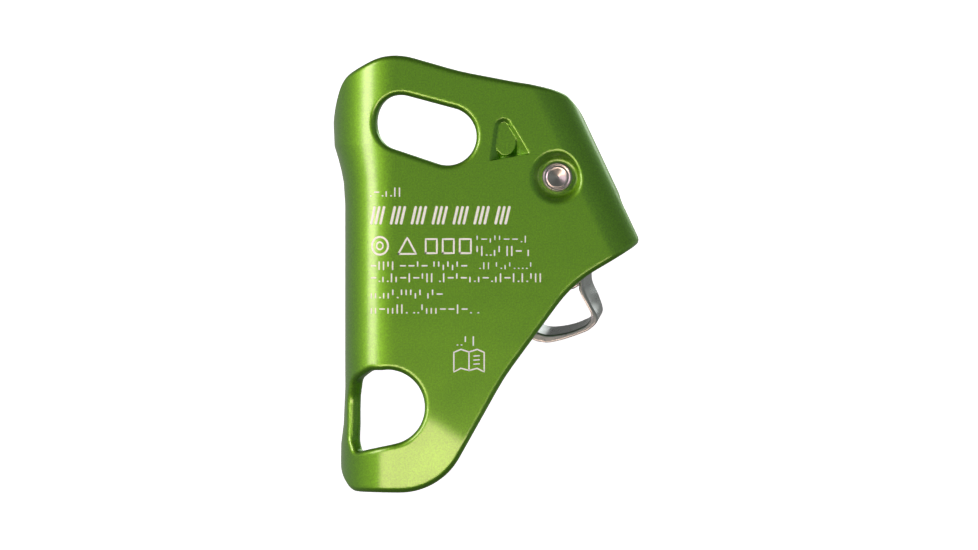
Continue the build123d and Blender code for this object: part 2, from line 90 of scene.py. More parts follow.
FOLD_TILT = math.radians(25.15)
FOLD_ACROSS = np.array([math.cos(FOLD_TILT), math.sin(FOLD_TILT)])
FOLD_ALONG = np.array([-math.sin(FOLD_TILT), math.cos(FOLD_TILT)])
FOLD_REACH = 13.6  # axle axis to the outer wall of the fold
FOLD_R = 10.0
FOLD_START = FOLD_REACH - FOLD_R
QUARTER = math.pi / 2
EAR_START = FOLD_START + FOLD_R * math.pi + (DEPTH - 2 * FOLD_R)  # in the flat blank
EAR_CENTRE = EAR_START + FOLD_START
EAR_R = 9.5
EAR_END, EAR_END_ROUND = EAR_CENTRE + 9.4, 9.3
NOTCH_ACROSS = 17.6  # the fold is cut away for the trigger beyond this line
NOTCH_TOP, NOTCH_FOOT = -12.3, -25.5
SHEETS_MEET = -14.0  # across the fold from the axle: the channel's half ends here

EYE_CENTRE = np.array([0.15, -0.1])
EYE_R = 10.15
EYE_BEND_CORNERS = [(0.2, 9.9, 0), (-5.2, 9.9, 5), (-11.8, 7.0, 4), (-13.9, 2.0, 6), (-12.9, -9.0, 3),
                    (-10.6, -12.5, 2), (1.5, -10.2, 0)]     # the eye runs on into the bend, straight-sided
SLOT_LEFT, SLOT_LEFT_R = np.array([3.9, 77.0]), 7.4
SLOT_RIGHT, SLOT_RIGHT_R = np.array([16.5, 73.2]), 7.8

SKIN = 0.03  # the sheet's outer face lies this far inside the CAD face
MARK_TOP, MARK_FOOT = 0.005, 0.10  # depths of the marks: their tops stand just proud of the skin

RECESS_TOP, RECESS_FLOOR = 7.0, 5.0
RECESS_DEPTH, RECESS_ROUND = 1.9, 0.5
HUB_ROOM = 8.9  # the inside of the fold is spot-faced to this radius
AXLE_R = 4.0
AXLE_END_R = 3.0
AXLE_HEAD_R = 4.1
WASHER = 1.0  # thickness of the axle's three washers
AXLE_WASHER_R = 7.0
THRUST_WASHER_R = 6.9
BUSH_R = 5.5
TURNING_GAP, BUSH_GAP = 0.02, 0.03  # round a shank: in a washer, and in the bush or the fork

SPRING_COIL_R = 7.75
SPRING_WIRE_R = 0.6
SPRING_BACK = 13.8
SPRING_PITCH = 1.25
SPRING_EAR_ANGLE = -20.0
SPRING_CAM_ANGLE = 180.0
SPRING_FULL_TURNS = 3
SPRING_HOLE_DEPTH = 3.5
SPRING_HOLE_R = SPRING_WIRE_R + 0.15
COIL_ROOM_MID, COIL_ROOM_HALF = 7.95, 1.25  # the groove in the cam for the coil
COIL_ROOM_BACK = 13.0

CAM_BACK, CAM_FRONT = 5.1, 18.9
CAM_BODY_BACK, CAM_BODY_FRONT = 5.6, 17.8
CAM_PAD_BACK, CAM_PAD_FRONT = 7.7, 17.6
PAD_MIDDLE = (CAM_PAD_BACK + CAM_PAD_FRONT) / 2
CAM_HUB_R = 8.5
CAM_NOSE_R = 54.4
CAM_PITCH = 22.0
CAM_TOOTH_ARC = 25.0
CAM_TOOTH_LEAN = 22.0
CAM_PAD_END_X, CAM_PAD_FADE = 7.0, 2.0
TOOTH_ROWS = 9
TOOTH_MARGIN_ARC = 1.0  # the outer rows stand this far inside the toothed arc
TOOTH_SKIP_ARC = 4.5  # the middle column stops this far from a mud slot
TOOTH_END_X = 3.0  # no tooth reaches further right
TOOTH_SPACING = 1.95
TOOTH_R, TOOTH_TIP_R = 0.95, 0.25
TOOTH_HEIGHT, TOOTH_SINK = 1.5, 0.4
MUD_SLOT_ARCS = (6.2, 17.8)
MUD_SLOT_LENGTH, MUD_SLOT_WIDTH, MUD_SLOT_DEPTH = 5.5, 2.0, 12.0
POCKET_BACK, POCKET_FRONT = 8.4, 15.0  # the web between the two lightening pockets
THROUGH = -9.0  # a bore that starts at this depth goes right through
FAR = 9.0  # a distance that no tooth reaches

PIN_R = 2.0
FORK_R = 5.4
FORK_BACK = 8.9
FORK_CHEEK = 1.8
FORK_ROOM_R = 9.4
PIN_HEAD_R, PIN_TAIL_R = 2.8, 3.0
PIN_HEAD, PIN_TAIL = 0.7, 0.88
SHIM_R, SHIM = 3.6, 0.4
STOP_PIN_R = 1.0
STOP_PIN_SINK = 0.05
TRIGGER_HUB_R = 3.9
HUB_BACK, HUB_FRONT = 11.3, 15.4
HUB_PLAY = 0.05
SPRING_ROOM_MID, SPRING_ROOM_HALF = 3.525, 0.625
SPRING_ROOM_DEPTH = 2.2
TRIGGER_COIL_R = 3.45
TRIGGER_COIL_ANGLE = 30
TRIGGER_WIRE_R = 0.33
TRIGGER_TURNS = 1.75
TRIGGER_PITCH = 0.85
LOOP_BACK = 9.3
LOOP_WIDTH = 7.0
LOOP_LEAN = (1.6, 2.5)
LOOP_CLEARANCE = 1.4  # the strip ends this far outside the fork
NECK_LEAN = 1.1  # the strip leans this much more where it rises to the pin
NECK_FOOT_Z, NECK_RISE = 25.0, 6.0

GREEN = (0.163, 0.465, 0.002)  # linear colour of the anodising
VIEW_CENTRE = Vector((0.0277, 0.0, 0.0357))  # in metres, like the distances below
VIEW_WIDTH = 0.2643
VIEW_DISTANCE = 1.1
LIGHT_DISTANCE = 0.9
SENSOR = 36.0
NODE_SLOTS = {part["node"]: part["material_slot"] for part in frame["record"]["subparts"]}


def polar(centre, radius, degrees):
    """X-Z point at that distance and angle, from +X towards +Z."""
    turn = math.radians(degrees)
    return np.array([centre[0] + radius * math.cos(turn), centre[1] + radius * math.sin(turn)])


STOP_PIN = polar(TRIGGER_PIN, 7.3, 116)
SPRING_EAR_HOLE = polar(AXLE, SPRING_COIL_R, SPRING_EAR_ANGLE)
SPRING_CAM_HOLE = polar(AXLE, SPRING_COIL_R, SPRING_CAM_ANGLE)


# --- implicit solids ---

def capsule(x, z, start, end, radius, end_radius):
    """Signed distance to a round-ended slot that tapers."""
    axis = end - start
    t = ((x - start[0]) * axis[0] + (z - start[1]) * axis[1]) / (axis @ axis)
    t = np.clip(t, 0.0, 1.0)
    taper = (end_radius - radius) * t
    return np.hypot(x - start[0] - t * axis[0], z - start[1] - t * axis[1]) - radius - taper


def from_axis(x, z, centre):
    """Distance from an axis along Y."""
    return np.hypot(x - centre[0], z - centre[1])


def layer(y, back, front):
    """Signed distance to all that lies between two depths."""
    return np.abs(y - (back + front) / 2) - (front - back) / 2


def round_max(a, b, radius):
    """Distance to what two solids share, with the edge between them rounded."""
    outer = np.hypot(np.maximum(a + radius, 0), np.maximum(b + radius, 0))
    return np.minimum(np.maximum(a + radius, b + radius), 0) + outer - radius


def round_min(a, b, radius):
    """Distance to two solids joined, with a fillet between them."""
    return -round_max(-a, -b, radius)


def rounded_polygon(corners, step=math.radians(5)):
    """Points of a closed outline from corners (x, z, radius)."""
    corners = [np.array(c, float) for c in corners]
    points = []
    for i, corner in enumerate(corners):
        before = corners[i - 1][:2] - corner[:2]
        after = corners[(i + 1) % len(corners)][:2] - corner[:2]
        before /= np.linalg.norm(before)
        after /= np.linalg.norm(after)
        half = math.acos(np.clip(before @ after, -1, 1)) / 2
        bisector = (before + after) / np.linalg.norm(before + after)
        centre = corner[:2] + bisector * corner[2] / math.sin(half)
        start = corner[:2] + before * corner[2] / math.tan(half) - centre
        turn = math.pi - 2 * half
        side = np.sign(start[0] * (-bisector[1]) + start[1] * bisector[0]) or 1.0
        count = max(2, int(turn / step) + 2)
        for angle in np.linspace(0, side * turn, count):
            c, s = math.cos(angle), math.sin(angle)
            points.append(centre + np.array([c * start[0] - s * start[1], s * start[0] + c * start[1]]))
    return np.array(points)


def polygon_distance(x, z, points):
    """Signed distance to a closed outline, negative inside."""
    best = np.full(x.shape, np.inf)
    inside = np.zeros(x.shape, bool)
    for a, b in zip(points, np.roll(points, -1, axis=0)):
        edge = b - a
        length = edge @ edge
        if length < 1e-12:
            continue
        t = np.clip(((x - a[0]) * edge[0] + (z - a[1]) * edge[1]) / length, 0, 1)
        best = np.minimum(best, (x - a[0] - t * edge[0]) ** 2 + (z - a[1] - t * edge[1]) ** 2)
        if a[1] != b[1]:
            crosses = ((a[1] > z) != (b[1] > z)) & (x < edge[0] * (z - a[1]) / edge[1] + a[0])
            inside ^= crosses
    return np.where(inside, -1, 1) * np.sqrt(best)


class Table:
    """A function of two coordinates, sampled once and read back by interpolation."""

    def __init__(self, function, low, high, step):
        self.low, self.step = np.array(low, float), step
        self.x = np.arange(low[0], high[0] + step, step)
        self.z = np.arange(low[1], high[1] + step, step)
        self.values = function(*np.meshgrid(self.x, self.z, indexing="ij"))

    def __call__(self, x, z):
        u = np.clip((x - self.low[0]) / self.step, 0, len(self.x) - 1.001)
        v = np.clip((z - self.low[1]) / self.step, 0, len(self.z) - 1.001)
        i, j = u.astype(int), v.astype(int)
        u, v = u - i, v - j
        f = self.values
        return ((f[i, j] * (1 - u) + f[i + 1, j] * u) * (1 - v)
                + (f[i, j + 1] * (1 - u) + f[i + 1, j + 1] * u) * v)


def grid_field(distance, axes):
    """The distance at every point of a grid, worked out one slice at a time."""
    field = np.empty([len(a) for a in axes], np.float32)
    y, z = np.meshgrid(axes[1], axes[2], indexing="ij")
    for i, x in enumerate(axes[0]):
        field[i] = distance(np.full(y.shape, x), y, z)
    return field


def crossing_points(field, axes):
    """Mean point, in each grid cell, of the places where the surface crosses the cell's edges."""
    shape = [n - 1 for n in field.shape]
    total = np.zeros(shape + [3], np.float32)
    count = np.zeros(shape, np.float32)
    for axis in range(3):
        f0 = np.moveaxis(field, axis, 0)[:-1]
        f1 = np.moveaxis(field, axis, 0)[1:]
        cross = (f0 < 0) != (f1 < 0)
        t = np.where(cross, f0 / np.where(cross, f0 - f1, 1), 0)
        line = axes[axis]
        along = line[:-1, None, None] + t * np.diff(line)[:, None, None]
        others = [k for k in range(3) if k != axis]
        place = [None, None, None]
        place[axis] = along
        place[others[0]] = np.broadcast_to(axes[others[0]][None, :, None], along.shape)
        place[others[1]] = np.broadcast_to(axes[others[1]][None, None, :], along.shape)
        for d0 in (0, 1):
            for d1 in (0, 1):
                part = (slice(None), slice(d0, d0 + shape[others[0]]), slice(d1, d1 + shape[others[1]]))
                mask = np.moveaxis(cross[part], 0, axis)
                count += mask
                for k in range(3):
                    total[..., k] += np.where(mask, np.moveaxis(place[k][part], 0, axis), 0)
    return total, count


def contour(distance, axes):
    """Points and quads of the surface where distance is zero, one point to a grid cell."""
    field = grid_field(distance, axes)
    total, count = crossing_points(field, axes)
    used = count > 0
    index = np.full(used.shape, -1, np.int64)
    index[used] = np.arange(used.sum())
    points = (total[used] / count[used][:, None]).astype(float)
    quads = []
    for axis in range(3):
        f = np.moveaxis(field, axis, 0)
        cells = np.moveaxis(index, axis, 0)
        inside0, inside1 = f[:-1, 1:-1, 1:-1] < 0, f[1:, 1:-1, 1:-1] < 0
        a, b = cells[:, :-1, :-1], cells[:, 1:, :-1]
        c, d = cells[:, 1:, 1:], cells[:, :-1, 1:]
        turn = axis == 1
        for mask, flip in ((inside0 & ~inside1, turn), (~inside0 & inside1, not turn)):
            quad = np.stack([a[mask], b[mask], c[mask], d[mask]], axis=1)
            quads.append(quad[:, ::-1] if flip else quad)
    return points, np.concatenate(quads)


def gradient(distance, points, reach=0.02):
    """Direction in which the distance grows, from points just ahead and just behind."""
    slope = np.empty_like(points)
    for k, step in enumerate(np.eye(3) * reach):
        slope[:, k] = (distance(*(points + step).T) - distance(*(points - step).T)) / (2 * reach)
    return slope


def pull_to_surface(distance, points, rounds=2, least_slope=0.25, longest_step=0.4):
    """Moves each point along the gradient until its distance is zero, in capped steps."""
    for _ in range(rounds):
        slope = gradient(distance, points)
        size = np.maximum((slope ** 2).sum(1), least_slope)
        step = np.clip(distance(*points.T) / size, -longest_step, longest_step)
        points = points - step[:, None] * slope
    return points


def relax(points, quads):
    """Moves each point to the middle of its neighbours."""
    a = quads.ravel()
    b = np.roll(quads, -1, axis=1).ravel()
    total = np.zeros_like(points)
    number = len(points)
    for k in range(3):
        total[:, k] = np.bincount(a, points[b, k], number) + np.bincount(b, points[a, k], number)
    count = np.bincount(a, minlength=number) + np.bincount(b, minlength=number)
    return total / count[:, None]


def stations(*spans):
    """Grid lines from (start, end, spacing) spans that follow one another."""
    lines = [np.arange(start, end, step) for start, end, step in spans]
    return np.concatenate(lines + [np.array([spans[-1][1]])])


def implicit_piece(name, distance, grid, relaxations=2):
    """Mesh of an implicit solid on a grid of (start, end, spacing) spans in X, in Y and in Z."""
    points, quads = contour(distance, [stations(*spans) for spans in grid])
    for _ in range(relaxations):
        points = pull_to_surface(distance, relax(points, quads))
    points = pull_to_surface(distance, points)
    slope = gradient(distance, points)
    normals = slope / np.maximum(np.linalg.norm(slope, axis=1), 1e-9)[:, None]
    piece = mesh_piece(name, points, quads)
    piece.data.normals_split_custom_set_from_vertices([tuple(n) for n in normals])
    return piece


def mesh_piece(name, points, faces):
    mesh = bpy.data.meshes.new(name)
    mesh.from_pydata((np.asarray(points) * MM).tolist(), [], [list(map(int, f)) for f in faces])
    mesh.polygons.foreach_set("use_smooth", [True] * len(mesh.polygons))
    mesh.update()
    piece = bpy.data.objects.new(name, mesh)
    bpy.context.scene.collection.objects.link(piece)
    return piece


# --- the folded frame ---

def on_blank(across, along):
    """Point of the flat blank from distances across and along the fold."""
    return AXLE + across * FOLD_ACROSS + along * FOLD_ALONG


def from_fold(x, z):
    """Distances from the axle across and along the fold."""
    dx, dz = x - AXLE[0], z - AXLE[1]
    return dx * FOLD_ACROSS[0] + dz * FOLD_ACROSS[1], dx * FOLD_ALONG[0] + dz * FOLD_ALONG[1]


def blank_outline():
    """Outline of the plate before it is folded, clockwise from the peak above the upper eye."""
    top = [(1.1, 96.2, 19), (20.0, 90.8, 60), (36.0, 87.75, 60)]
    ear = [(14.0, 19.6, 2.6), (19.5, 13.2, 4), (24.0, EAR_R, 4), (EAR_END, EAR_R, EAR_END_ROUND),
           (EAR_END, -EAR_R, EAR_END_ROUND), (26.0, -EAR_R, 2), (23.8, NOTCH_TOP, 2),
           (NOTCH_ACROSS, NOTCH_TOP, 2), (NOTCH_ACROSS, NOTCH_FOOT, 2)]
    foot = [(50.4, 33.3, 35), (31.9, 8.0, 60), (14.3, -23.45, 18.6), (-12.3, -23.4, 8)]
    channel = [(-24.3, -16.6, 4), (-23.7, 7.5, 10), (-28.0, 13.0, 10), (-39.5, 17.5, 5), (-39.5, 59.5, 6),
               (-15.5, 89.4, 14)]
    ear = [(*on_blank(across, along), radius) for across, along, radius in ear]
    return rounded_polygon(top + ear + foot + channel)


def outline_table(points, low, high, step=0.2):
    return Table(lambda x, z: polygon_distance(x, z, points), low, high, step)


OUTLINE = outline_table(blank_outline(), (-46, -30), (105, 102), 0.3)
EYE_TABLE = outline_table(rounded_polygon(EYE_BEND_CORNERS), (-20, -18), (14, 16))


def blank_distance(x, z):
    """Signed distance, in the flat blank, to its outline and its holes."""
    eye = np.minimum(from_axis(x, z, EYE_CENTRE) - EYE_R, EYE_TABLE(x, z))
    slot = capsule(x, z, SLOT_LEFT, SLOT_RIGHT, SLOT_LEFT_R, SLOT_RIGHT_R)
    return np.maximum(OUTLINE(x, z), np.maximum(-eye, -slot))


BOSS_LEFT = np.array([27.9, 66.7])
BOSS_RIGHT = np.array([38.7, 68.6])
BOSS_APEX = np.array([31.6, 75.7])
BOSS_APEX_R = 2.4
BOSS_OVAL, BOSS_OVAL_R = np.array([32.1, 72.4]), (2.9, 4.3)
BOSS_FLOOR, BOSS_DEPTH = 0.85, 2.6  # at the oval floor, and at most in the corners below it
BOSS_CORNER_SLOPE = 1.6
BOSS_WALL_SLOPE = 0.8
BOSS_FLOOR_ROUND = 0.2
BOSS_CREASE = 0.15
BOSS_SHEAR = 0.35


def boss_side(x, z, corner, turn):
    """Distance inwards from the boss's straight side that runs from a base corner to touch the round apex."""
    line = BOSS_APEX - corner
    reach = np.linalg.norm(line)
    lean = math.asin(BOSS_APEX_R / reach) * turn
    c, s = math.cos(lean) / reach, math.sin(lean) / reach
    line = np.array([line[0] * c - line[1] * s, line[0] * s + line[1] * c])
    return ((x - corner[0]) * line[1] - (z - corner[1]) * line[0]) * turn


def boss_depth(x, z):
    """How far the stop boss presses the plate in: deepest along its sheared lower edge."""
    base = (BOSS_RIGHT - BOSS_LEFT) / np.linalg.norm(BOSS_RIGHT - BOSS_LEFT)
    rise = (x - BOSS_LEFT[0]) * -base[1] + (z - BOSS_LEFT[1]) * base[0]
    out = np.hypot((x - BOSS_OVAL[0]) / BOSS_OVAL_R[0], (z - BOSS_OVAL[1]) / BOSS_OVAL_R[1]) - 1
    corners = np.where(z < BOSS_OVAL[1], np.maximum(out, 0) * BOSS_OVAL_R[0] * BOSS_CORNER_SLOPE, 0)
    floor = np.minimum(BOSS_FLOOR + corners, BOSS_DEPTH)
    tip = BOSS_APEX_R - from_axis(x, z, BOSS_APEX)
    above = (x - BOSS_APEX[0]) * -base[1] + (z - BOSS_APEX[1]) * base[0] > 0
    sides = np.minimum(boss_side(x, z, BOSS_LEFT, 1), boss_side(x, z, BOSS_RIGHT, -1))
    inwards = np.where(above, np.minimum(tip, sides), sides)
    wall = (inwards + np.hypot(inwards, BOSS_CREASE)) / 2 * BOSS_WALL_SLOPE
    depth = round_min(wall, floor, BOSS_FLOOR_ROUND)
    return np.maximum(depth, 0) * np.clip(rise / BOSS_SHEAR + 0.5, 0, 1)


TOE_LINE = (10.4, -2.6)
TOE_DOWN = (-0.537, -0.844)  # square to the line where the toe starts to turn away
TOE_TILT = math.tan(math.radians(10.0))
TOE_SOFTNESS = 1.1


def toe_rise(x, z):
    """The toe is bent gently away, below a slanting line under the lower eye."""
    beyond = (x - TOE_LINE[0]) * TOE_DOWN[0] + (z - TOE_LINE[1]) * TOE_DOWN[1]
    return np.logaddexp(0, beyond / TOE_SOFTNESS) * TOE_SOFTNESS * TOE_TILT


def left_sheet(x, y, z):
    """Depth below the outer face and place in the blank, for the rope channel."""
    bend = np.interp(z, BEND_HEIGHTS, BEND_RADII)
    front = DEPTH - bend
    lip = FLAT_START - bend + front
    dx, dy = FLAT_START - x, bend - y
    back_depth = np.where(dx > 0, bend - np.hypot(dx, dy), y)
    back_x = np.where(dx > 0, FLAT_START - bend * np.arctan2(dx, dy), x)
    fx, fy = lip - x, y - bend
    front_depth = np.where(fx > 0, front - np.hypot(fx, fy), DEPTH - y)
    turned = np.where(fx > 0, front * np.arctan2(fy, fx), front * QUARTER - fx)
    front_x = FLAT_START - bend * QUARTER - turned
    near = y <= bend
    return np.where(near, back_depth, front_depth), np.where(near, back_x, front_x), z


def right_sheet(x, y, z):
    """The same for the fold that carries the ear."""
    across, along = from_fold(x, z)
    dx = across - FOLD_START
    back_y, front_y = FOLD_R - y, y - (DEPTH - FOLD_R)
    middle = FOLD_START + FOLD_R * QUARTER
    beyond = middle + (DEPTH - 2 * FOLD_R)
    depth = np.where(y < DEPTH / 2, y, DEPTH - y)
    place = np.where(y < DEPTH / 2, across, EAR_START - dx)
    depth = np.where(dx > 0, FOLD_REACH - across, depth)
    place = np.where(dx > 0, middle + y - FOLD_R, place)
    back = (dx > 0) & (back_y > 0)
    depth = np.where(back, FOLD_R - np.hypot(dx, back_y), depth)
    place = np.where(back, FOLD_START + FOLD_R * np.arctan2(dx, back_y), place)
    front = (dx > 0) & (front_y > 0)
    depth = np.where(front, FOLD_R - np.hypot(dx, front_y), depth)
    place = np.where(front, beyond + FOLD_R * np.arctan2(front_y, dx), place)
    blank_x = AXLE[0] + place * FOLD_ACROSS[0] + along * FOLD_ALONG[0]
    blank_z = AXLE[1] + place * FOLD_ACROSS[1] + along * FOLD_ALONG[1]
    return depth, blank_x, blank_z


def sheet_place(x, y, z):
    """Depth below the outer face and place in the blank, anywhere on the frame."""
    y = y - toe_rise(x, z)
    on_fold = from_fold(x, z)[0] > SHEETS_MEET
    sheets = zip(left_sheet(x, y, z), right_sheet(x, y, z))
    return [np.where(on_fold, right, left) for left, right in sheets]


def frame_distance(x, y, z):
    depth, blank_x, blank_z = sheet_place(x, y, z)
    depth = depth - boss_depth(blank_x, blank_z)
    sheet = layer(depth, SKIN, PLATE)
    body = round_max(sheet, blank_distance(blank_x, blank_z), EDGE_ROUND)
    radial = from_axis(x, z, AXLE)
    slope = math.atan2(RECESS_TOP - RECESS_FLOOR, RECESS_DEPTH)
    cone = (radial - RECESS_FLOOR) * math.cos(slope) - (RECESS_DEPTH - y) * math.sin(slope)
    dish = round_max(cone, y - RECESS_DEPTH, RECESS_ROUND)
    body = round_max(body, -dish, RECESS_ROUND)
    room = np.maximum(radial - HUB_ROOM, layer(y, PLATE, DEPTH - PLATE))
    body = round_max(body, -room, 0.25)
    body = round_max(body, AXLE_END_R - radial, 0.3)
    bore = from_axis(x, z, SPRING_EAR_HOLE) - SPRING_HOLE_R
    return np.maximum(body, -np.maximum(bore, DEPTH / 2 - y))


# finest round the stop boss, and finer round the recess than elsewhere
FRAME_GRID = [((-15.9, 26, 0.6), (26, 41, 0.28), (41, 57, 0.4), (57, 71, 0.6)),
              ((-0.8, 5, 0.4), (5, 19, 0.7), (19, 25.2, 0.4)),
              ((-25.3, 55, 0.6), (55, 66, 0.4), (66, 79.5, 0.28), (79.5, 97.5, 0.6))]


# --- the cam ---

def spiral_point(arc, lift=0.0):
    """Point on the cam's toothed face, arc degrees above the lowest tooth."""
    r = CAM_NOSE_R * math.exp(-math.tan(math.radians(CAM_PITCH)) * math.radians(arc)) + lift
    return polar(AXLE, -r, CAM_PITCH - arc)


def from_face(x, z, foot, lean):
    """Distances outwards and sideways from a point of the toothed face."""
    c, s = math.cos(lean), math.sin(lean)
    dx, dz = x - foot[0], z - foot[1]
    return -dx * c - dz * s, dx * s - dz * c


def cam_corners():
    face = [(*spiral_point(arc), 0.0) for arc in range(0, 24, 4)]
    crown = [(*spiral_point(CAM_TOOTH_ARC), 1.0), (3.4, 65.2, 1.5), (9.0, 63.4, 15), (17.0, 62.7, 15),
             (27.0, 65.7, 25), (41.0, 68.6, 10), (47.0, 70.4, 3), (53.4, 66.0, 5), (52.9, 56.8, 6)]
    arm = [(50.0, 51.8, 25), (47.9, 38.4, 12), (48.0, 31.5, 5.2), (38.3, 30.6, 5.2), (37.2, 36.5, 6)]
    belly = [(32.5, 44.0, 12), (25.0, 46.0, 25), (12.0, 43.3, 25), (1.5, 38.7, 4), (-2.7, 38.3, 2.0)]
    return face + crown + arm + belly


def cam_extents(x):
    """Depth of the cam's back and front faces: the toothed pad is set off centre from the body."""
    blend = np.clip((x - CAM_PAD_END_X) / CAM_PAD_FADE, 0, 1)
    blend = blend * blend * (3 - 2 * blend)
    back = CAM_PAD_BACK + (CAM_BODY_BACK - CAM_PAD_BACK) * blend
    front = CAM_PAD_FRONT + (CAM_BODY_FRONT - CAM_PAD_FRONT) * blend
    return back, front


def cam_teeth():
    """Foot point and lean of every tooth; the middle column makes way for the mud slots."""
    teeth = []
    for row in range(TOOTH_ROWS):
        arc = TOOTH_MARGIN_ARC + (CAM_TOOTH_ARC - 2 * TOOTH_MARGIN_ARC) * row / (TOOTH_ROWS - 1)
        for column in ((-1, 1) if row % 2 else (-2, 0, 2)):
            if column or min(abs(arc - slot) for slot in MUD_SLOT_ARCS) >= TOOTH_SKIP_ARC:
                foot = spiral_point(arc, -TOOTH_SINK)
                depth = PAD_MIDDLE + column * TOOTH_SPACING
                teeth.append((foot, depth, math.radians(CAM_TOOTH_LEAN - arc)))
    return teeth


def teeth_distance(x, y, z):
    best = np.full(x.shape, FAR)
    taper = (TOOTH_R - TOOTH_TIP_R) / TOOTH_HEIGHT
    for foot, depth, lean in cam_teeth():
        along, across = from_face(x, z, foot, lean)
        flank = (np.hypot(across, y - depth) - TOOTH_R + taper * along) / math.hypot(1, taper)
        best = np.minimum(best, round_max(flank, layer(along, 0, TOOTH_HEIGHT), 0.12))
    return best


ARM_CUT = [(28, 20), (28, 40), (34, 46), (38, 51), (43, 54), (60, 60), (60, 20)]
POCKET = [(13, 47.5), (13, 58.5), (22, 58.8), (33, 61.5), (35.6, 55), (39, 51.5), (37, 47), (25, 49.5)]
POCKET_CORNER_R = 2
CAM_LOW, CAM_HIGH = (-12, 24), (62, 76)
CAM_TABLE = outline_table(rounded_polygon(cam_corners()), CAM_LOW, CAM_HIGH)
ARM_TABLE = outline_table(np.array(ARM_CUT, float), (-12, 20), CAM_HIGH)
POCKET_TABLE = outline_table(rounded_polygon([(*corner, POCKET_CORNER_R) for corner in POCKET]),
                             CAM_LOW, CAM_HIGH)


def cam_distance(x, y, z):
    body = round_max(layer(y, *cam_extents(x)), CAM_TABLE(x, z), 0.9)
    arm = round_max(ARM_TABLE(x, z), y - FORK_BACK, 0.4)
    body = round_max(body, -arm, 0.5)
    radial = from_axis(x, z, AXLE)
    hub = round_max(radial - CAM_HUB_R, layer(y, CAM_BACK, CAM_FRONT), 0.4)
    body = round_min(body, hub, 0.4)
    pocket = POCKET_TABLE(x, z)
    for wall in (y - POCKET_BACK, POCKET_FRONT - y):
        body = round_max(body, -round_max(pocket, wall, 0.8), 0.5)
    for arc in MUD_SLOT_ARCS:
        outward, across = from_face(x, z, spiral_point(arc), math.radians(CAM_PITCH - arc))
        run = np.abs(y - PAD_MIDDLE) - (MUD_SLOT_LENGTH - MUD_SLOT_WIDTH) / 2
        run = np.maximum(run, 0)
        slot = np.maximum(np.hypot(across, run) - MUD_SLOT_WIDTH / 2, -outward - MUD_SLOT_DEPTH)
        body = round_max(body, -slot, 0.3)
    groove = np.maximum(np.abs(radial - COIL_ROOM_MID) - COIL_ROOM_HALF, COIL_ROOM_BACK - y)
    body = round_max(body, -groove, 0.2)
    room = layer(y, FORK_BACK + FORK_CHEEK, CAM_BODY_FRONT - FORK_CHEEK)
    room = np.maximum(from_axis(x, z, TRIGGER_PIN) - FORK_ROOM_R, room)
    body = round_max(body, -room, 0.2)
    bores = ((AXLE, BUSH_R, THROUGH), (TRIGGER_PIN, PIN_R, THROUGH), (STOP_PIN, STOP_PIN_R, THROUGH),
             (SPRING_CAM_HOLE, SPRING_HOLE_R, SPRING_BACK - SPRING_HOLE_DEPTH))
    for centre, radius, start in bores:
        bore = np.maximum(from_axis(x, z, centre) - radius, start - y)
        body = round_max(body, -bore, 0.15)
    return np.where(x < TOOTH_END_X, np.minimum(body, teeth_distance(x, y, z)), body)


# finest at the teeth, and finer along the arm and the hub than below and above them
CAM_GRID = [((-6.6, 2, 0.26), (2, 55.5, 0.5)),
            ((4.6, 19.5, 0.3),),
            ((29.0, 38, 0.5), (38, 66, 0.34), (66, 71.5, 0.5))]


# --- the trigger ---

def smooth_loop(points, per_span=8):
    """Closed curve through the points (Catmull-Rom)."""
    p = np.array(points, float)
    out = []
    for i in range(len(p)):
        a, b, c, d = p[i - 1], p[i], p[(i + 1) % len(p)], p[(i + 2) % len(p)]
        for t in np.arange(per_span) / per_span:
            out.append(0.5 * (2 * b + (c - a) * t + (2 * a - 5 * b + 4 * c - d) * t ** 2
                              + (3 * b - a - 3 * c + d) * t ** 3))
    return np.array(out)


LOOP_OUTER = [(53.3, 36.4), (53.3, 34.0), (53.6, 31.5), (55.4, 27.6), (57.35, 23.6), (55.3, 20.9),
              (52.4, 19.5), (48.6, 18.2), (45.0, 17.3), (42.6, 17.2), (39.6, 18.0), (37.4, 20.8),
              (37.1, 24.5), (38.0, 28.6), (40.2, 32.2), (47.0, 34.9)]
LOOP_INNER = [(51.8, 33.7), (52.1, 31.6), (52.9, 29.6), (54.2, 27.4), (55.3, 25.2), (55.3, 23.6),
              (54.0, 22.0), (52.4, 21.15), (49.6, 20.1), (45.6, 19.35), (42.7, 19.4), (40.2, 20.6),
              (39.2, 23.2), (39.7, 27.0), (41.6, 30.2), (47.0, 32.5)]
NECK = [(41.2, 33.0), (38.8, 27.2), (41.4, 26.6), (44.6, 31.0), (50.8, 31.9), (53.4, 33.4), (53.4, 35.2)]
CATCH = [(0, 0), (8.4, 10), (8.8, 28), (7.8, 52), (7.6, 72)]  # radius and angle about the trigger's pin
STOP_LUG = [(7.6, 131), (7.6, 143), (2.0, 172), (2.0, 102)]


def trigger_table(points):
    return outline_table(np.array(points), (30, 10), (66, 50))


LOOP_OUT_TABLE = trigger_table(smooth_loop(LOOP_OUTER))
LOOP_IN_TABLE = trigger_table(smooth_loop(LOOP_INNER))
WEB_TABLES = [trigger_table(NECK)] + [trigger_table([polar(TRIGGER_PIN, *corner) for corner in corners])
                                      for corners in (CATCH, STOP_LUG)]


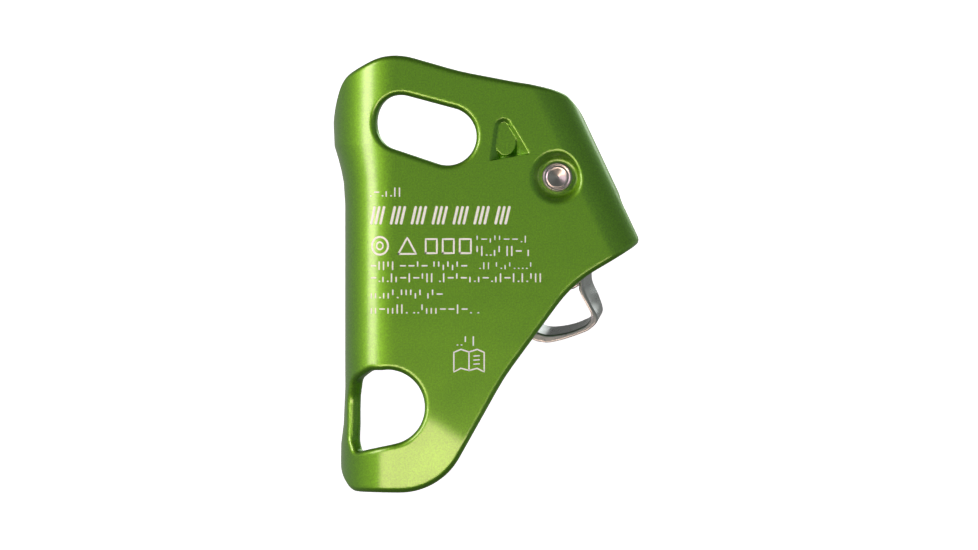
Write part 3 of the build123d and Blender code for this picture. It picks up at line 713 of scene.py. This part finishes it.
def trigger_distance(x, y, z):
    rise = (y - LOOP_BACK) / LOOP_WIDTH
    twist = np.clip((z - NECK_FOOT_Z) / NECK_RISE, 0, 1)
    lean = LOOP_LEAN[0] + NECK_LEAN * twist * twist * (3 - 2 * twist)
    u, v = x - lean * rise, z - LOOP_LEAN[1] * rise
    strip = np.maximum(LOOP_OUT_TABLE(u, v), -LOOP_IN_TABLE(u, v))
    loop = round_max(strip, layer(y, LOOP_BACK, LOOP_BACK + LOOP_WIDTH), 0.45)
    radial = from_axis(x, z, TRIGGER_PIN)
    loop = round_max(loop, FORK_R + LOOP_CLEARANCE - radial, 0.5)
    hub_depth = layer(y, HUB_BACK, HUB_FRONT)
    web = round_max(np.minimum.reduce([table(x, z) for table in WEB_TABLES]), hub_depth, 0.4)
    hub = round_max(radial - TRIGGER_HUB_R, hub_depth, 0.3)
    body = round_min(round_min(web, hub, 0.4), loop, 0.5)
    room = np.abs(radial - SPRING_ROOM_MID) - SPRING_ROOM_HALF
    room = np.maximum(room, y - HUB_BACK - SPRING_ROOM_DEPTH)
    body = round_max(body, -room, 0.15)
    return round_max(body, PIN_R + HUB_PLAY - radial, 0.15)


TRIGGER_GRID = [((35.8, 60.4, 0.27),), ((8.6, 17.0, 0.27),), ((16.4, 44.8, 0.27),)]


# --- turned parts, springs ---

def lathe_piece(name, centre, corners, segments=72):
    """Turned part: corners (radius, depth, rounding) of its section, turned about an axis along Y."""
    section = rounded_polygon(corners, math.radians(15))
    before = np.roll(section, 1, axis=0)
    section = np.array([p for p, q in zip(section, before) if np.hypot(*(p - q)) > 1e-4])
    turns = np.arange(segments) * 2 * math.pi / segments
    points, index = [], []
    for radius, depth in section:
        if radius < 1e-4:
            index.append([len(points)] * segments)
            points.append((centre[0], depth, centre[1]))
        else:
            index.append(list(range(len(points), len(points) + segments)))
            points += [(centre[0] + radius * math.cos(t), depth, centre[1] + radius * math.sin(t))
                       for t in turns]
    faces = []
    for ring, following in zip(index, index[1:] + index[:1]):
        for i in range(segments):
            j = (i + 1) % segments
            face = list(dict.fromkeys([ring[i], ring[j], following[j], following[i]]))
            if len(face) > 2:
                faces.append(face)
    piece = mesh_piece(name, points, faces)
    fix_normals(piece)
    piece.modifiers.new("flats", "WEIGHTED_NORMAL").weight = 80
    return piece


def fix_normals(piece):
    """Turns every face outwards."""
    shape = bmesh.new()
    shape.from_mesh(piece.data)
    bmesh.ops.recalc_face_normals(shape, faces=shape.faces)
    shape.to_mesh(piece.data)
    shape.free()


def ring_corners(outer, inner, start, end, rounding):
    """Section of a plain ring between two depths."""
    return [(*corner, rounding) for corner in ((inner, start), (outer, start), (outer, end), (inner, end))]


def tube_piece(name, path, radius, sides=14):
    """Round wire along a path, closed at its ends."""
    path = np.array(path, float)
    tangents = np.gradient(path, axis=0)
    tangents /= np.linalg.norm(tangents, axis=1)[:, None]
    aslant = (0.3, 0.5, 0.8)        # any direction that the path doesn't start in
    normal = np.cross(tangents[0], aslant)
    points = []
    angles = np.arange(sides) * 2 * math.pi / sides
    for place, tangent in zip(path, tangents):
        normal = normal - tangent * (normal @ tangent)
        normal /= np.linalg.norm(normal)
        side = np.cross(tangent, normal)
        points += [place + radius * (math.cos(a) * normal + math.sin(a) * side) for a in angles]
    faces = [list(range(sides))[::-1], list(range(len(points) - sides, len(points)))]
    for i in range(len(path) - 1):
        for j in range(sides):
            k = (j + 1) % sides
            faces.append([i * sides + j, i * sides + k, (i + 1) * sides + k, (i + 1) * sides + j])
    piece = mesh_piece(name, points, faces)
    fix_normals(piece)
    return piece


def coil_piece(name, centre, radius, wire, start_angle, turns, back, pitch, leg_back, leg_front):
    """Spring that winds clockwise from its start angle, with straight legs that reach to the depths given.

    The two ends of the coil's axis come with it, in metres.
    """
    bend, gap, leg_points, steps = 0.5, 0.02, 6, 48
    front, end_angle = back + pitch * turns, start_angle - 360 * turns
    places = [(start_angle, y) for y in np.linspace(leg_back, back - bend, leg_points)]
    for t in np.linspace(gap, turns - gap, int(turns * steps)):
        places.append((start_angle - 360 * t, back + pitch * t))
    places += [(end_angle, y) for y in np.linspace(front + bend, leg_front, leg_points)]
    points = [polar(centre, radius, angle) for angle, _ in places]
    path = [(x, y, z) for (x, z), (_, y) in zip(points, places)]
    ends = [Vector((centre[0], depth, centre[1])) * MM for depth in (back, front)]
    return tube_piece(name, path, wire), *ends


def make_springs():
    turns = SPRING_FULL_TURNS + (SPRING_CAM_ANGLE - SPRING_EAR_ANGLE) / 360
    cam_spring, start, end = coil_piece(
        "cam_return_spring", AXLE, SPRING_COIL_R, SPRING_WIRE_R, SPRING_CAM_ANGLE, turns,
        SPRING_BACK, SPRING_PITCH, SPRING_BACK - SPRING_HOLE_DEPTH + 0.3, DEPTH - 0.8)
    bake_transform(cam_spring)
    trigger_spring, start, end = coil_piece(
        "trigger_return_spring", TRIGGER_PIN, TRIGGER_COIL_R, TRIGGER_WIRE_R, TRIGGER_COIL_ANGLE,
        TRIGGER_TURNS, HUB_BACK + 0.4, TRIGGER_PITCH, FORK_BACK + 0.6, HUB_BACK + 3.4)
    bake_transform(trigger_spring)
    return cam_spring, trigger_spring


def make_turned_parts():
    """(piece, body, CAD node, slot) for the axle, washers, bush and pins."""
    parts = []

    def add(name, axis, section, body, node, slot="axle_stainless", segments=72):
        parts.append((lathe_piece(name, axis, section, segments), body, node, slot))

    front_face, tail = DEPTH - PLATE, DEPTH + WASHER
    add("shoulder_rivet", AXLE, [
        (0, 1.35, 0), (0.4, 1.35, 0.1), (2.2, 0.62, 0.1), (2.7, 0.46, 0.2), (3.1, 0.66, 0.15),
        (3.6, 0.43, 0.2), (AXLE_HEAD_R, 0.9, 0.15), (AXLE_HEAD_R, RECESS_DEPTH, 0.05),
        (AXLE_END_R, RECESS_DEPTH, 0), (AXLE_END_R, PLATE, 0), (AXLE_R, PLATE, 0.1),
        (AXLE_R, front_face, 0.1), (AXLE_END_R, front_face, 0), (AXLE_END_R, tail, 0),
        (AXLE_HEAD_R, tail, 0.1), (AXLE_HEAD_R, tail + 1.1, 0.4), (3.2, tail + 1.55, 0.3),
        (1.5, tail + 1.58, 0.1), (0.9, tail + 1.2, 0.1), (0, tail + 1.2, 0)], "frame_body", "cam_axle")
    ring = ring_corners(AXLE_WASHER_R, AXLE_END_R + TURNING_GAP, DEPTH, tail, 0.2)
    add("rivet_washer", AXLE, ring, "frame_body", "axle_washer")
    for side, start in (("rear", PLATE), ("front", front_face - WASHER)):
        ring = ring_corners(THRUST_WASHER_R, AXLE_R + TURNING_GAP, start, start + WASHER, 0.15)
        add(f"{side}_thrust_ring", AXLE, ring, "frame_body", f"{side}_thrust_washer", "bearing_plastic")
    ring = ring_corners(BUSH_R, AXLE_R + BUSH_GAP, CAM_BACK, CAM_FRONT, 0.2)
    add("bronze_bush", AXLE, ring, "cam_body", "cam_bush", "bush_bronze")
    shank, head, end = PIN_R - BUSH_GAP, FORK_BACK - PIN_HEAD, CAM_BODY_FRONT + PIN_TAIL
    add("trigger_rivet", TRIGGER_PIN, [
        (0, head, 0), (1.6, head, 0.5), (PIN_HEAD_R, head + 0.4, 0.3), (PIN_HEAD_R, FORK_BACK, 0.05),
        (shank, FORK_BACK, 0), (shank, CAM_BODY_FRONT, 0), (PIN_TAIL_R, CAM_BODY_FRONT, 0.05),
        (PIN_TAIL_R, CAM_BODY_FRONT + 0.4, 0.3), (1.8, end, 0.6), (0, end, 0)],
        "cam_body", "trigger_pin", segments=48)
    for side, start in (("rear", FORK_BACK + FORK_CHEEK), ("front", CAM_BODY_FRONT - FORK_CHEEK - SHIM)):
        ring = ring_corners(SHIM_R, PIN_R + TURNING_GAP, start, start + SHIM, 0.08)
        add(f"{side}_trigger_shim", TRIGGER_PIN, ring, "cam_body", f"trigger_{side}_washer", segments=48)
    back, front = FORK_BACK + STOP_PIN_SINK, CAM_BODY_FRONT - STOP_PIN_SINK
    dowel = [(0, back, 0), (STOP_PIN_R, back, 0.2), (STOP_PIN_R, front, 0.2), (0, front, 0)]
    add("stop_dowel", STOP_PIN, dowel, "cam_body", "trigger_stop_pin", segments=32)
    return parts


# --- laser marks ---

def on_skin(blank_x, z, depth):
    """Point at a depth below the outer face, from its place in the blank."""
    if blank_x >= FLAT_START:
        return (blank_x, depth, z)
    bend = np.interp(z, BEND_HEIGHTS, BEND_RADII)
    turn = (FLAT_START - blank_x) / bend
    return (FLAT_START - (bend - depth) * math.sin(turn), bend - (bend - depth) * math.cos(turn), z)


def stroke(path, width):
    """Outline pairs (left, right) along a stroke with rounded ends."""
    fine = []
    for a, b in zip(path, path[1:]):
        a, b = np.array(a, float), np.array(b, float)
        count = max(1, int(np.linalg.norm(b - a) / 0.8) + 1)
        fine += [a + (b - a) * i / count for i in range(count)]
    fine.append(np.array(path[-1], float))
    fine = np.array(fine)
    runs = np.gradient(fine, axis=0)
    runs /= np.linalg.norm(runs, axis=1)[:, None]
    pairs = []
    half = width / 2
    ends = [(fine[0], runs[0], -s) for s in (0.92, 0.6)] + [(p, r, 0) for p, r in zip(fine, runs)]
    ends += [(fine[-1], runs[-1], s) for s in (0.6, 0.92)]
    for place, run, reach in ends:
        side = np.array([-run[1], run[0]]) * half * math.sqrt(1 - reach ** 2)
        centre = place + run * half * reach
        pairs.append((centre + side, centre - side))
    return pairs


def marks_piece(name, strokes):
    """All strokes as thin closed strips, just proud of the outer face."""
    points, faces = [], []
    for path, width in strokes:
        pairs = stroke(path, width)
        base = len(points)
        for left, right in pairs:
            points += [on_skin(*left, MARK_TOP), on_skin(*right, MARK_TOP),
                       on_skin(*right, MARK_FOOT), on_skin(*left, MARK_FOOT)]
        for i in range(len(pairs) - 1):
            a, b = base + 4 * i, base + 4 * i + 4
            faces += [[a + k, a + (k + 1) % 4, b + (k + 1) % 4, b + k] for k in range(4)]
        last = base + 4 * (len(pairs) - 1)
        faces += [[base + k for k in (3, 2, 1, 0)], [last + k for k in range(4)]]
    piece = mesh_piece(name, points, faces)
    fix_normals(piece)
    for face in piece.data.polygons:
        face.use_smooth = False
    return piece


def tally_row(rng, start, end, foot, height, pen):
    """A row of upright ticks, dots and dashes: it stands for a line of print without spelling anything."""
    ticks = ((0, 1), (0, 0.55), (0.45, 1))      # foot and head of each tick, as parts of the row's height
    dash, dot, dot_lift = 1.3, 0.15, 0.1
    strokes = []
    at = start
    while at < end - 0.4:
        kind = rng.integers(0, 5)
        if kind < len(ticks):
            low, high = ticks[kind]
            strokes.append(([(at, foot + height * low), (at, foot + height * high)], pen))
            at += 1.25
        elif kind == len(ticks):
            reach = min(dash, end - at)
            strokes.append(([(at, foot + height / 2), (at + reach, foot + height / 2)], pen))
            at += reach + 1.0
        else:
            strokes.append(([(at, foot + dot_lift), (at + dot, foot + dot_lift)], pen))
            at += 1.1
        if rng.random() < 0.12:     # now and then a wider gap, as between words
            at += 0.9
    return strokes


def ellipse_stroke(centre, radii, pen):
    turns = np.linspace(0, 2 * math.pi, 22)
    return ([(centre[0] + radii[0] * math.cos(t), centre[1] + radii[1] * math.sin(t)) for t in turns], pen)


# (start, end, foot, height, pen) of every tally row, in the order in which their ticks are drawn
TALLY_ROWS = [(-4.6, 4.2, 57.0, 2.2, 0.36), (24.5, 38.5, 44.6, 1.6, 0.3), (24.5, 39.5, 41.0, 2.4, 0.38),
              (-4.4, 22.6, 37.2, 2.0, 0.38), (25.2, 39.8, 37.4, 1.6, 0.3), (-4.4, 43.0, 33.9, 2.1, 0.38),
              (-4.4, 15.0, 29.5, 2.1, 0.38), (-4.4, 25.2, 25.4, 2.2, 0.38), (19.1, 25.2, 16.7, 2.3, 0.34)]
RING_CENTRE = (-1.9, 43.6)


def open_book(middle, foot, head, half_width, pen):
    """Two pages, their spine and three lines on the right-hand page."""
    spine = [(middle, foot + 0.9), (middle, head - 0.4)]
    strokes = []
    for side in (-1, 1):
        edge, page = middle + side * half_width, middle + side * 2.2
        strokes.append(([spine[0], (page, foot + 1.5), (edge, foot + 0.5), (edge, head - 0.5),
                         (page, head + 0.3), spine[1]], pen))
    strokes.append((spine, pen))
    for line in range(3):
        height = foot + 2.6 + 1.1 * line
        strokes.append(([(middle + 1.3, height), (middle + 2.8, height + 0.1)], 0.3))
    return strokes


def make_marks():
    rng = np.random.default_rng(7)
    strokes = [tick for row in TALLY_ROWS for tick in tally_row(rng, *row)]
    for start in [5.65 * block + 1.35 * bar - 4.4 for block in range(7) for bar in range(3)]:
        strokes.append(([(start, 49.7), (start + 1.0, 54.0)], 0.72))
    strokes += [ellipse_stroke(RING_CENTRE, (2.3, 2.4), 0.55), ellipse_stroke(RING_CENTRE, (0.9, 1.0), 0.45)]
    strokes += [([(3.2, 41.4), (5.6, 45.8), (8.0, 41.4), (3.2, 41.4)], 0.5)]
    foot, head = 41.6, 45.4
    for left, right in ((10.6, 13.6), (15.2, 18.2), (19.8, 22.8)):
        strokes.append(([(left, foot), (right, foot), (right, head), (left, head), (left, foot)], 0.5))
    strokes += open_book(22.3, 9.0, 15.3, 4.1, 0.36)
    return marks_piece("laser_marks", strokes)


# --- materials ---

def map_range(nodes, links, value, low, high, start, end):
    """Output of a node that turns low to high into start to end."""
    ramp = nodes.new("ShaderNodeMapRange")
    for key, limit in (("From Min", low), ("From Max", high), ("To Min", start), ("To Max", end)):
        ramp.inputs[key].default_value = limit
    links.new(value, ramp.inputs["Value"])
    return ramp.outputs["Result"]


class Finish:
    """A Principled material whose colour, gloss and relief vary a little from place to place."""

    def __init__(self, name, colour, metallic, roughness):
        self.material = bpy.data.materials.new(name)
        self.material.use_nodes = True
        self.nodes = self.material.node_tree.nodes
        self.links = self.material.node_tree.links
        self.shader = self.nodes["Principled BSDF"]
        self.colour = colour
        self.roughness = roughness
        self.shader.inputs["Base Color"].default_value = (*colour, 1)
        self.shader.inputs["Metallic"].default_value = metallic
        self.shader.inputs["Roughness"].default_value = roughness
        self.place = self.nodes.new("ShaderNodeTexCoord").outputs["Object"]

    def noise(self, scale, detail=3.0, stretch=None):
        place = self.place
        if stretch is not None:
            mapping = self.nodes.new("ShaderNodeMapping")
            mapping.inputs["Scale"].default_value = stretch
            self.links.new(place, mapping.inputs["Vector"])
            place = mapping.outputs["Vector"]
        texture = self.nodes.new("ShaderNodeTexNoise")
        texture.inputs["Scale"].default_value = scale
        texture.inputs["Detail"].default_value = detail
        self.links.new(place, texture.inputs["Vector"])
        return texture.outputs["Fac"]

    def spread(self, factor, middle, reach):
        """The noise's usual range, 0.3 to 0.7, spread round a middle value."""
        return map_range(self.nodes, self.links, factor, 0.3, 0.7, middle - reach, middle + reach)

    def mottle(self, factor, spread):
        """Base colour multiplied by a factor that runs from 1 - spread to 1 + spread."""
        scale = self.nodes.new("ShaderNodeVectorMath")
        scale.operation = "SCALE"
        scale.inputs[0].default_value = self.colour
        self.links.new(self.spread(factor, 1, spread), scale.inputs["Scale"])
        self.links.new(scale.outputs["Vector"], self.shader.inputs["Base Color"])

    def gloss(self, factor, spread):
        self.links.new(self.spread(factor, self.roughness, spread), self.shader.inputs["Roughness"])

    def relief(self, factor, strength, height):
        bump = self.nodes.new("ShaderNodeBump")
        bump.inputs["Strength"].default_value = strength
        bump.inputs["Distance"].default_value = height
        self.links.new(factor, bump.inputs["Height"])
        self.links.new(bump.outputs["Normal"], self.shader.inputs["Normal"])


def anodised():
    finish = Finish("green_anodising", GREEN, 1.0, 0.5)
    finish.mottle(finish.noise(2600, 2.0), 0.2)
    finish.gloss(finish.noise(90, 4.0), 0.03)
    finish.relief(finish.noise(3800, 2.0), 0.35, 0.00004)
    finish.shader.inputs["Coat Weight"].default_value = 1.0
    finish.shader.inputs["Coat Roughness"].default_value = 0.25
    finish.shader.inputs["Coat IOR"].default_value = 1.62
    return finish.material


def metal(name, colour, roughness, mottle=0.08, brushed=None):
    finish = Finish(name, colour, 1.0, roughness)
    finish.mottle(finish.noise(260, 4.0), mottle)
    finish.gloss(finish.noise(500, 3.0), 0.05)
    finish.relief(finish.noise(2200, 3.0, brushed), 0.05, 0.00002)
    return finish.material


def plastic(name, colour, roughness):
    finish = Finish(name, colour, 0.0, roughness)
    finish.mottle(finish.noise(400, 3.0), 0.1)
    finish.relief(finish.noise(1800, 2.0), 0.2, 0.00002)
    return finish.material


def marking():
    finish = Finish("laser_mark", (0.76, 0.80, 0.66), 0.0, 0.55)
    finish.mottle(finish.noise(3200, 2.0), 0.12)
    finish.relief(finish.noise(4200, 2.0), 0.2, 0.00001)
    return finish.material


def paper():
    finish = Finish("paper", (0.9, 0.9, 0.9), 0.0, 0.9)
    finish.mottle(finish.noise(60, 2.0), 0.005)
    finish.shader.inputs["Emission Color"].default_value = (1, 1, 1, 1)
    finish.shader.inputs["Emission Strength"].default_value = 0.75
    return finish.material


# --- stage, lights, camera ---

def make_camera():
    camera = bpy.data.cameras.new("camera")
    camera.sensor_width = SENSOR
    camera.lens = SENSOR * VIEW_DISTANCE / VIEW_WIDTH
    camera.clip_start = 0.01
    holder = bpy.data.objects.new("camera", camera)
    holder.location = VIEW_CENTRE + Vector((0, -VIEW_DISTANCE, 0))
    holder.rotation_euler = (math.pi / 2, 0, 0)
    bpy.context.scene.collection.objects.link(holder)
    bpy.context.scene.camera = holder


def softbox(name, direction, size, power, colour=(1, 1, 1)):
    """Area light in that direction from the middle of the view, facing it."""
    light = bpy.data.lights.new(name, "AREA")
    light.shape = "RECTANGLE"
    light.size, light.size_y = size
    light.energy = power
    light.color = colour
    holder = bpy.data.objects.new(name, light)
    away = Vector(direction).normalized()
    holder.location = VIEW_CENTRE + away * LIGHT_DISTANCE
    holder.rotation_euler = away.to_track_quat("Z", "Y").to_euler()
    bpy.context.scene.collection.objects.link(holder)


def make_stage():
    """A white floor that curves up into a white wall, in metres."""
    floor_z, back_y, radius, reach, top = -0.16, 1.9, 0.6, 6.0, 2.4
    profile = [(-reach, floor_z)] + [
        (back_y - radius + radius * math.sin(a), floor_z + radius - radius * math.cos(a))
        for a in np.linspace(0, QUARTER, 17)] + [(back_y, top)]
    points = [(x, y, z) for y, z in profile for x in (-reach, reach)]
    faces = [(2 * i, 2 * i + 1, 2 * i + 3, 2 * i + 2) for i in range(len(profile) - 1)]
    sweep = mesh_piece("sweep", np.array(points) / MM, faces)
    sweep.data.materials.append(paper())
    sweep.visible_glossy = False


def make_surroundings():
    """Studio walls as the metal sees them: lighter to the left, darker to the right, above and below."""
    world = bpy.data.worlds.new("studio")
    world.use_nodes = True
    nodes, links = world.node_tree.nodes, world.node_tree.links
    background = nodes["Background"]
    split = nodes.new("ShaderNodeSeparateXYZ")
    links.new(nodes.new("ShaderNodeTexCoord").outputs["Generated"], split.inputs["Vector"])
    level = nodes.new("ShaderNodeMath")
    level.operation = "ABSOLUTE"
    links.new(split.outputs["Z"], level.inputs[0])
    product = nodes.new("ShaderNodeMath")
    product.operation = "MULTIPLY"
    ramps = ((split.outputs["X"], -1, 1, 0.38, 0.32), (level.outputs["Value"], 0.15, 0.8, 1.0, 0.35))
    for (value, *limits), factor in zip(ramps, product.inputs):
        links.new(map_range(nodes, links, value, *limits), factor)
    links.new(product.outputs["Value"], background.inputs["Strength"])
    background.inputs["Color"].default_value = (1.0, 0.98, 0.96, 1)
    bpy.context.scene.world = world


def make_lights():
    softbox("key_left", (-0.82, -0.57, 0.18), (0.31, 0.48), 4.7, (1.0, 0.66, 0.80))
    softbox("back_fill", (0.45, 0.75, 0.55), (0.5, 0.5), 1.4)
    softbox("low_card", (-0.26, -1.0, -0.40), (1.00, 0.24), 7.4, (1.0, 0.66, 0.55))


# --- put together ---

def place(piece, body, node, slot, material):
    piece.data.materials.append(material)
    if body is not None:
        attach(piece, body)
    if node is not None:
        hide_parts(node)


def build():
    steel = metal("turned_stainless", (0.40, 0.42, 0.39), 0.32)
    finishes = {
        "frame_anodised": anodised(),
        "axle_stainless": steel,
        "bearing_plastic": plastic("bearing_acetal", (0.05, 0.05, 0.05), 0.45),
        "cam_steel": metal("cast_steel", (0.36, 0.36, 0.37), 0.42, 0.12),
        "bush_bronze": metal("bush_bronze", (0.55, 0.36, 0.16), 0.35),
        "spring_steel": metal("spring_wire", (0.42, 0.42, 0.44), 0.28),
        "trigger_stainless": metal("stamped_stainless", (0.44, 0.48, 0.46), 0.30, 0.06, (1.0, 0.12, 1.0)),
    }
    for name, node in frame["nodes"].items():
        slot = NODE_SLOTS[name]
        node.data.materials.clear()
        node.data.materials.append(finishes[slot])
    sculpted = [
        (implicit_piece("folded_frame", frame_distance, FRAME_GRID), "frame_body", "frame", "frame_anodised"),
        (implicit_piece("toothed_cam", cam_distance, CAM_GRID, 1), "cam_body", "cam", "cam_steel"),
        (implicit_piece("finger_trigger", trigger_distance, TRIGGER_GRID), "trigger_body", "trigger",
         "trigger_stainless")]
    for piece, body, node, slot in sculpted + make_turned_parts():
        place(piece, body, node, slot, finishes[slot])
    for piece, node in zip(make_springs(), ("cam_spring", "trigger_spring")):
        place(piece, None, node, "spring_steel", finishes["spring_steel"])
    place(make_marks(), "frame_body", None, "frame_anodised", marking())


bpy.context.scene.view_settings.view_transform = "Standard"
make_camera()
make_stage()
make_surroundings()
make_lights()
build()
